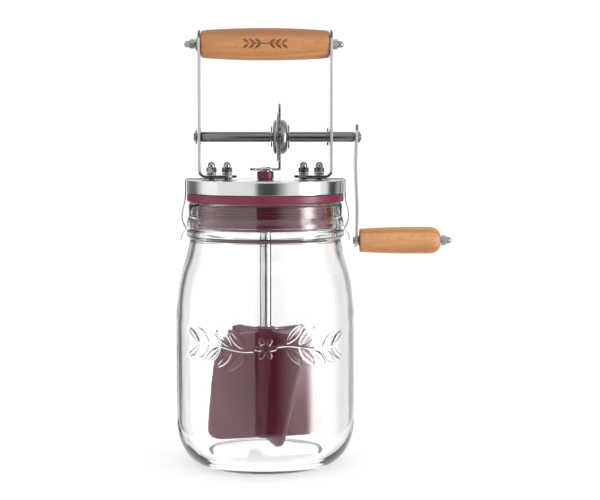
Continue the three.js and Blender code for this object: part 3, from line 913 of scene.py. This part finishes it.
def acorn_nut(tightened):
    """An acorn nut standing on Z = 0: a turned blank milled to six flats, turned by that many degrees."""
    flats, hexagon, dome, height, bore, widest = 5.45, 3.1, 2.15, 6.5, 1.8, 3.15
    blank = filleted([(bore, 0, 0), (2.85, 0, 0), (widest, 0.3, 0), (widest, hexagon - 0.35, 0),
                      (2.5, hexagon, 0.1), (dome, hexagon + 0.05, 0.15), (dome, 4.35, 0)], closed=False)
    blank += arc((0, height - dome), (dome, dome), 4, 90, 9) + [(0, 5.2), (bore - 0.6, 5.0), (bore, 4.6)]
    mesh = spun(blank, SMALL)
    for i in range(6):
        turn = math.tau * i / 6 + math.radians(tightened)
        flat = Vector((math.cos(turn), math.sin(turn), 0))
        cut = cut_across(mesh, flat * flats / 2, flat, 1e-5, clear_outer=True)
        rim = [item for item in cut if isinstance(item, bmesh.types.BMEdge)]
        bmesh.ops.holes_fill(mesh, edges=rim, sides=0)
    return mesh


def open_ring(inner, outer, thick, gap):
    """A flat spring ring with a gap of that many degrees towards +X, centred on Z = 0."""
    mesh = bmesh.new()
    section = ring_outline(inner, outer, -thick / 2, thick / 2, 0.1)
    corners = [mesh.verts.new((r, 0, z)) for r, z in section]
    edges = [mesh.edges.new(pair) for pair in zip(corners, corners[1:] + corners[:1])]
    turned(mesh, math.radians(gap / 2), "Z")
    sweep = math.radians(360 - gap)
    bmesh.ops.spin(mesh, geom=corners + edges, cent=(0, 0, 0), axis=(0, 0, 1), angle=sweep, steps=40)
    bmesh.ops.holes_fill(mesh, edges=[e for e in mesh.edges if e.is_boundary], sides=0)
    return mesh


class CHURN_OT_fasteners(bpy.types.Operator):
    """Makes the acorn nuts, spring washers and screws that hold the arms, the handle and the knob"""

    bl_idname = "churn.fasteners"
    bl_label = "Fasteners"

    def execute(self, context):
        turns = {"left_outer": 21, "left_inner": 35, "right_inner": 27, "right_outer": 39}
        for place, turn in turns.items():
            self.foot_bolt(place, turn)
        self.end_nut("handle_nut_left", "left", "lid", 8)
        self.end_nut("handle_nut_right", "right", "lid", 22)
        self.end_nut("knob_nut", "right", "crank", 17)
        low, high = box_mm("handle_washer")
        z = (low.z + high.z) / 2
        bore, reach, dish, thick = 1.8, high.z - z, 0.9, 1.2
        cone = [(bore, 0, 0.1), (3.2, 0, 0.2), (reach, dish, 0.1), (reach, thick, 0.1), (bore, thick, 0.1)]
        piece("handle_washer", laid(spun(filleted(cone), SMALL), low.x, z), "plating", "lid")
        return {"FINISHED"}

    @staticmethod
    def foot_bolt(place, turn):
        base, far = box_mm(f"foot_nut_{place}")
        x = (base.x + far.x) / 2
        piece(f"foot_nut_{place}", moved(acorn_nut(turn), x, 0, base.z), "plating", "lid")
        low, high = box_mm(f"foot_washer_{place}")
        washer = open_ring(1.8, high.x - x, high.z - low.z, 8)
        piece(f"foot_washer_{place}", moved(washer, x, 0, (low.z + high.z) / 2), "shaft_steel", "lid")
        low, high = box_mm(f"foot_screw_{place}")
        head, shank, under_lid = high.x - x, 1.5, 169.7
        screw = turned_bar([(0, low.z, 0), (head, low.z, 0.5), (head, under_lid, 0.3),
                            (shank, under_lid, 0.1), (shank, high.z, 0.4), (0, high.z, 0)])
        piece(f"foot_screw_{place}", moved(screw, x), "plating", "lid")

    @staticmethod
    def end_nut(node, side, body, turn):
        low, high = box_mm(node)
        mesh = on_side(laid(acorn_nut(turn)), side)
        moved(mesh, high.x if side == "left" else low.x, 0, (low.z + high.z) / 2)
        piece(node, mesh, "plating", body)


# ---- grips


class CHURN_OT_carry_handle(bpy.types.Operator):
    """Turns the barrel-shaped carry handle and the rod through it"""

    bl_idname = "churn.carry_handle"
    bl_label = "Carry handle"

    def execute(self, context):
        low, high = box_mm("carry_handle")
        z = (low.z + high.z) / 2
        widest, end, half, bore = high.z - z, 8.3, high.x, 2.0
        places = [half * (i / 10 - 1) for i in range(1, 20)]
        barrel = [(widest - (widest - end) * (x / half) ** 2, x) for x in places]
        corners = [(bore, -half, 0), (end - 0.2, -half, 1.7), (*barrel[0], 0)]
        start = filleted(corners, closed=False, steps=6)[:-1]
        finish = [(r, -x) for r, x in reversed(start)]
        piece("carry_handle", laid(spun(start + barrel + finish, MIDDLE), z=z), "carry_beech", "lid")
        low, high = box_mm("handle_rod")
        rod = turned_bar([(0, low.x, 0), (high.y, low.x, 0.4), (high.y, high.x, 0.4), (0, high.x, 0)])
        piece("handle_rod", laid(rod, z=z), "shaft_steel", "lid")
        return {"FINISHED"}


class CHURN_OT_crank_knob(bpy.types.Operator):
    """Turns the crank's wooden knob, with its bolt and spacer"""

    bl_idname = "churn.crank_knob"
    bl_label = "Crank knob"

    def execute(self, context):
        low, high = box_mm("crank_knob")
        z = (low.z + high.z) / 2
        big, small, bore = high.z - z, 7.15, 2.0
        start = filleted([(bore, low.x, 0), (small, low.x, 0.9), (small, low.x + 1.9, 0)], closed=False)[:-1]
        side = [(small, low.x + 0.9), (small + 0.18, low.x + 5), (small + 0.6, low.x + 13),
                (big - 0.05, low.x + 24), (big, low.x + 32), (big, high.x - 8)]
        dome, depth = 4.6, 6.4
        end = arc((big - dome, high.x - depth), (dome, depth), 5, 90, 12) + [(bore + 0.2, high.x)]
        mesh = spun(start + smooth_through(side, 4)[1:] + end, MIDDLE)
        piece("crank_knob", laid(mesh, z=z), "knob_beech", "knob")
        low, high = box_mm("knob_bolt")
        head, shank, neck = high.y, 1.5, low.x + 0.8
        bolt = turned_bar([(0, low.x, 0), (head, low.x, 0.3), (head, neck, 0.15), (shank, neck, 0),
                           (shank, high.x, 0.3), (0, high.x, 0)])
        piece("knob_bolt", laid(bolt, z=z), "plating", "crank")
        ring_piece("knob_spacer", 1.8, "shaft_steel", "crank", z, fillet=0.12)
        return {"FINISHED"}


# ---- the crank and the gears


class CHURN_OT_crank_shaft(bpy.types.Operator):
    """Turns the shaft with its grooves, journal and tenon, and adds its clips and bushes"""

    bl_idname = "churn.crank_shaft"
    bl_label = "Crank shaft"

    def execute(self, context):
        low, high = box_mm("crank_shaft")
        z, bar, journal, tenon = (low.z + high.z) / 2, high.y, 2.6, 2.2
        shoulder, crank_seat, slack = -38.5, 53.6, 0.3
        profile = [(0, low.x, 0), (journal, low.x, 0.5)]
        clips = (  # the shaft's radius beside each clip, its groove's, and the clip's own two
            ("shaft_clip_left", journal, 2.15, 2.45, 4.35),
            ("gear_clip_left", bar, 2.5, 2.8, 6.5),
            ("gear_clip_right", bar, 2.5, 2.8, 7.5),
            ("shaft_clip_right", bar, 2.5, 2.8, 5.6),
        )
        for node, radius, groove, _, _ in clips:
            near, far = box_mm(node)
            start, end = near.x - slack, far.x + slack
            profile += [(radius, start, 0), (groove, start, 0), (groove, end, 0), (radius, end, 0)]
            if radius == journal:
                profile += [(journal, shoulder, 0.2), (bar, shoulder, 0.6)]
        profile += [(bar, crank_seat, 0.6), (tenon, crank_seat, 0), (tenon, high.x, 0.7), (0, high.x, 0)]
        piece("crank_shaft", laid(turned_bar(profile, MIDDLE), z=z), "shaft_steel", "crank")
        for node, _, _, inner, outer in clips:
            near, far = box_mm(node)
            clip = open_ring(inner, outer, far.x - near.x, 42)
            piece(node, laid(clip, (near.x + far.x) / 2, z), "shaft_steel", "crank")
        for side, radius in (("left", journal), ("right", bar)):
            ring_piece(f"shaft_bush_{side}", radius + slack, "shaft_steel", "lid", z)
        return {"FINISHED"}


def toothed(teeth, root, tip, root_width, tip_width, first):
    """Outline of a gear whose first tooth points along that angle."""
    outline = []
    for i in range(teeth):
        middle = first + math.tau * i / teeth
        flank = [(root, -root_width), (tip - 0.25, -tip_width - 0.1), (tip, -tip_width + 0.45)]
        tooth = flank + [(r, -w) for r, w in reversed(flank)]
        outline += [(r * math.cos(middle + w / 2 / r), r * math.sin(middle + w / 2 / r)) for r, w in tooth]
    return outline


class CHURN_OT_drive_gear(bpy.types.Operator):
    """Stamps the drive gear and its flange, and presses the two domed hub cups"""

    bl_idname = "churn.drive_gear"
    bl_label = "Drive gear"

    def execute(self, context):
        low, high = box_mm("drive_gear")
        z, bore = box_mm("crank_shaft")[0].z + 3.1, 3.4
        disc = plate(toothed(27, 17.8, 20.1, 2.3, 1.3, 0), [circle(0, 0, bore, 40)], high.x - low.x, 0.16)
        piece("drive_gear", laid(disc, low.x, z), "shaft_steel", "crank")
        ring_piece("gear_flange", bore, "pressed_steel", "crank", z, MIDDLE, 0.12)
        for side in ("left", "right"):
            low, high = box_mm(f"gear_hub_{side}")
            deep, dome, start = high.x - low.x, 7.2, 0.6
            cup = [(bore, 0), (high.y, 0), (high.y, 0.35)]
            cup += arc((dome, start), (high.y - dome, deep - start), 8, 88, 10)
            cup += [(6.4, deep), (bore, deep - 0.2)]
            mesh = on_side(laid(spun(cup, MIDDLE)), side)
            moved(mesh, low.x if side == "right" else high.x, 0, z)
            piece(f"gear_hub_{side}", mesh, "pressed_steel", "crank")
        return {"FINISHED"}


class CHURN_OT_crank_arm(bpy.types.Operator):
    """Stamps the tapered crank arm, bows it a little and rivets it"""

    bl_idname = "churn.crank_arm"
    bl_label = "Crank arm"

    def execute(self, context):
        low, high = box_mm("crank_arm")
        big, small, thick, middle_x = high.z - SHAFT_Z, 4.3, 1.6, 54.8
        reach = SHAFT_Z - KNOB_Z
        slope = math.degrees(math.asin((big - small) / reach))
        outline = arc((SHAFT_Z, 0), (big, big), 90 + slope - 180, 90 - slope, 24)
        outline += arc((KNOB_Z, 0), (small, small), 90 - slope, 270 + slope, 20)
        mesh = plate(outline, [circle(SHAFT_Z, 0, 2.5), circle(KNOB_Z, 0, 1.9)], thick)
        cuts = 30
        for i in range(cuts + 1):
            cut_across(mesh, (low.z + 1 + (high.z - low.z - 2) * i / cuts, 0, 0), (1, 0, 0))
        for vert in mesh.verts:
            height, y, up = vert.co
            bow = 0.5 * math.sin((height - KNOB_Z) / reach * math.tau)
            vert.co = (middle_x - thick / 2 + up + bow, -y, height)
        piece("crank_arm", mesh, "crank_strip", "crank")
        low, high = box_mm("crank_rivet")
        bore, rim = 2.5, 0.8
        rivet = [(bore, low.x, 0.1), (high.y, low.x, 0.2), (high.y, low.x + rim, 0.5), (bore, high.x, 0.3)]
        piece("crank_rivet", laid(spun(filleted(rivet), SMALL), z=SHAFT_Z), "shaft_steel", "crank")
        return {"FINISHED"}


class CHURN_OT_spindle(bpy.types.Operator):
    """Makes the pinion, the spindle rod and the clip that keeps it in the lid"""

    bl_idname = "churn.spindle"
    bl_label = "Spindle and pinion"

    def execute(self, context):
        low, high = box_mm("pinion_gear")
        outline = toothed(12, 7.3, 9.7, 2.1, 1.2, math.pi / 12)
        mesh = plate(outline, [circle(0, 0, 3.3, 40)], high.z - low.z, 0.16)
        piece("pinion_gear", moved(mesh, z=low.z), "pressed_steel", "spindle")
        low, high = box_mm("spindle_rod")
        near, far = box_mm("spindle_clip")
        bar, groove, lower, shoulder, slack = 3.0, 2.4, high.x, 159.4, 0.3
        start, end = near.z - slack, far.z + slack
        rod = turned_bar([(0, low.z, 0), (lower, low.z, 0.4), (lower, shoulder, 0.5), (bar, shoulder, 0),
                          (bar, start, 0), (groove, start, 0), (groove, end, 0), (bar, end, 0.1),
                          (bar, high.z, 0.8), (0, high.z, 0)], MIDDLE)
        piece("spindle_rod", rod, "spindle_bar", "spindle")
        clip = moved(open_ring(2.7, 5.6, far.z - near.z, 42), z=(near.z + far.z) / 2)
        piece("spindle_clip", clip, "shaft_steel", "spindle")
        return {"FINISHED"}


class CHURN_OT_paddle(bpy.types.Operator):
    """Moulds the four twisted blades and their hub as one soft-edged piece"""

    bl_idname = "churn.paddle"
    bl_label = "Paddle"

    def execute(self, context):
        low, high = box_mm("paddle")
        reach, bottom, top, hub = 36.0, low.z, 79.8, 6.4
        mesh = turned_bar([(0, bottom, 0), (hub, bottom, 1.5), (hub, high.z, 1.2), (0, high.z, 0)])
        for i in range(4):
            self.blade(mesh, reach, bottom, top, math.tau * i / 4)
        made = piece("paddle", mesh, "satin_silicone", "spindle")
        fused = made.modifiers.new("fused", "REMESH")
        fused.mode = "VOXEL"
        fused.voxel_size = 0.7 * MM
        fused.use_smooth_shade = True
        relaxed = made.modifiers.new("relaxed", "SMOOTH")
        relaxed.factor = 0.5
        relaxed.iterations = 6
        graph = context.evaluated_depsgraph_get()
        final = bpy.data.meshes.new_from_object(made.evaluated_get(graph))
        made.modifiers.clear()
        made.data = final
        return {"FINISHED"}

    @staticmethod
    def blade(mesh, reach, bottom, top, turn):
        """One blade: a grid drawn to its outline, thickened, then twisted as it rises."""
        top_round, bottom_round, thick, root = 10.0, 7.5, sizes().blade, 1.0
        foot, twist = -76, 26.5  # the angle of the blade's foot, and its turn up to the top, in degrees
        grid = bmesh.ops.create_grid(mesh, x_segments=16, y_segments=48, size=1.0)["verts"]
        for vert in grid:
            u, v = (vert.co.x + 1) / 2, (vert.co.y + 1) / 2
            z = bottom + (top - bottom) * v
            if z < bottom + bottom_round:
                edge = reach - bottom_round + rounding(bottom_round, bottom + bottom_round - z)
            elif z > top - top_round:
                edge = reach - top_round + rounding(top_round, z - top + top_round)
            else:
                edge = reach
            vert.co = (root + (edge - root) * u, -thick / 2, z)
        far = thicken(mesh, list({f for v in grid for f in v.link_faces}), (0, thick, 0))
        for vert in grid + far:
            share = (vert.co.z - bottom) / (top - bottom)
            angle = math.radians(foot + twist * share) + turn
            vert.co = Matrix.Rotation(angle, 3, "Z") @ vert.co


def rounding(radius, past):
    """How far a round corner still reaches out, at a distance past its start."""
    return math.sqrt(max(0.0, radius**2 - past**2))


# ---- the stage


class CHURN_OT_stage(bpy.types.Operator):
    """Sets the pale floor, the studio lights and cards, and the camera"""

    bl_idname = "churn.stage"
    bl_label = "Stage"

    def execute(self, context):
        scene = context.scene
        scene.view_settings.view_transform = "Standard"
        world = bpy.data.worlds.new("studio")
        world.use_nodes = True
        background = world.node_tree.nodes["Background"]
        background.inputs["Color"].default_value = (1, 1, 1, 1)
        background.inputs["Strength"].default_value = sizes().sky
        scene.world = world
        floor = self.card("studio_floor", (0, 0, -0.0002), (40, 40), (0, 0, 0), studio_white().material)
        floor.visible_glossy = floor.visible_transmission = False
        dark, grey = flat_card("dark_card", 0.06).material, flat_card("grey_card", 0.42).material
        front = fading_card("front_card_fade", 0.07, -0.075, 0.05).material
        near = fading_card("near_card_fade", 0.14, 0.105, 0.005).material
        far = fading_card("far_card_fade", 0.14, -0.04, 0.26).material
        upright, sideways = (math.pi / 2, 0, 0), (math.pi / 2, 0, math.pi / 2)
        for name, place, size, turn, shade in (
            ("front_card", (0.142, -0.3, 0.105), (0.416, 0.31), upright, front),
            ("left_near_card", (-0.25, 0.01, 0.1), (0.22, 0.4), sideways, near),
            ("left_far_card", (-0.25, 0.38, 0.1), (0.52, 0.4), sideways, far),
            ("right_card", (0.3, 0.1015, 0.1), (0.129, 0.4), sideways, dark),
            ("right_back_card", (0.3, 0.416, 0.1), (0.5, 0.4), sideways, grey),
        ):
            self.mirrored_only(self.card(name, place, size, turn, shade))
        bearing, distance, height, width = 68, 1.5, 0.05, 1.0
        key = soft_light("key_light", sizes().key_power, width / 2, 0.42).material
        key_turn = (math.pi / 2, 0, math.radians(bearing))
        place = self.around(bearing, distance, height)
        softbox = self.card("key_softbox", place, (width, 1.1), key_turn, key)
        softbox.visible_camera = False
        self.camera(scene)
        return {"FINISHED"}

    @staticmethod
    def mirrored_only(card):
        """Leaves a card in reflections and seen through glass, and out of everything else."""
        card.visible_camera = card.visible_diffuse = card.visible_shadow = card.visible_volume_scatter = False

    @staticmethod
    def around(turn, distance, height):
        """A point round the churn: 0 degrees is the front and 90 is the crank's side."""
        angle = math.radians(turn)
        return (distance * math.sin(angle), -distance * math.cos(angle), height)

    @staticmethod
    def card(name, place, size, turn, material):
        mesh = bmesh.new()
        bmesh.ops.create_grid(mesh, x_segments=1, y_segments=1, size=0.5)
        bmesh.ops.scale(mesh, vec=(size[0], size[1], 1), verts=mesh.verts)
        data = bpy.data.meshes.new(name)
        mesh.to_mesh(data)
        mesh.free()
        data.materials.append(material)
        made = bpy.data.objects.new(name, data)
        made.location = place
        made.rotation_euler = turn
        bpy.context.scene.collection.objects.link(made)
        return made

    @staticmethod
    def camera(scene):
        data = bpy.data.cameras.new("camera")
        data.lens = sizes().lens
        data.sensor_width = 36
        data.shift_y = -0.08
        made = bpy.data.objects.new("camera", data)
        distance, height = 0.863, 0.199
        down, aside = 2.78, 1.386  # degrees
        made.location = (0, -distance, height)
        made.rotation_euler = (math.radians(90 - down), 0, math.radians(-aside))
        scene.collection.objects.link(made)
        scene.camera = made


# ---- add-on


STEPS = (
    CHURN_OT_stage, CHURN_OT_glass_jar, CHURN_OT_lid_cover, CHURN_OT_lid_seal, CHURN_OT_frame_arms,
    CHURN_OT_spring_clips, CHURN_OT_fasteners, CHURN_OT_carry_handle, CHURN_OT_crank_shaft,
    CHURN_OT_drive_gear, CHURN_OT_crank_arm, CHURN_OT_crank_knob, CHURN_OT_spindle, CHURN_OT_paddle,
)


class CHURN_PT_pieces(bpy.types.Panel):
    """Lists the churn's pieces and its colours and sizes"""

    bl_label = "Butter churn"
    bl_idname = "CHURN_PT_pieces"
    bl_space_type = "VIEW_3D"
    bl_region_type = "UI"
    bl_category = "Churn"

    def draw(self, context):
        for step in STEPS:
            self.layout.operator(step.bl_idname)
        for group in (context.scene.churn_colours, context.scene.churn_sizes):
            for name in group.__annotations__:
                self.layout.prop(group, name)


CLASSES = (ChurnColours, ChurnSizes, *STEPS, CHURN_PT_pieces)


def register():
    for part in CLASSES:
        bpy.utils.register_class(part)
    bpy.types.Scene.churn_colours = bpy.props.PointerProperty(type=ChurnColours)
    bpy.types.Scene.churn_sizes = bpy.props.PointerProperty(type=ChurnSizes)


def unregister():
    del bpy.types.Scene.churn_sizes
    del bpy.types.Scene.churn_colours
    for part in reversed(CLASSES):
        bpy.utils.unregister_class(part)


def main():
    register()
    for step in STEPS:
        group, name = step.bl_idname.split(".")
        getattr(getattr(bpy.ops, group), name)()


if __name__ == "__main__":
    main()
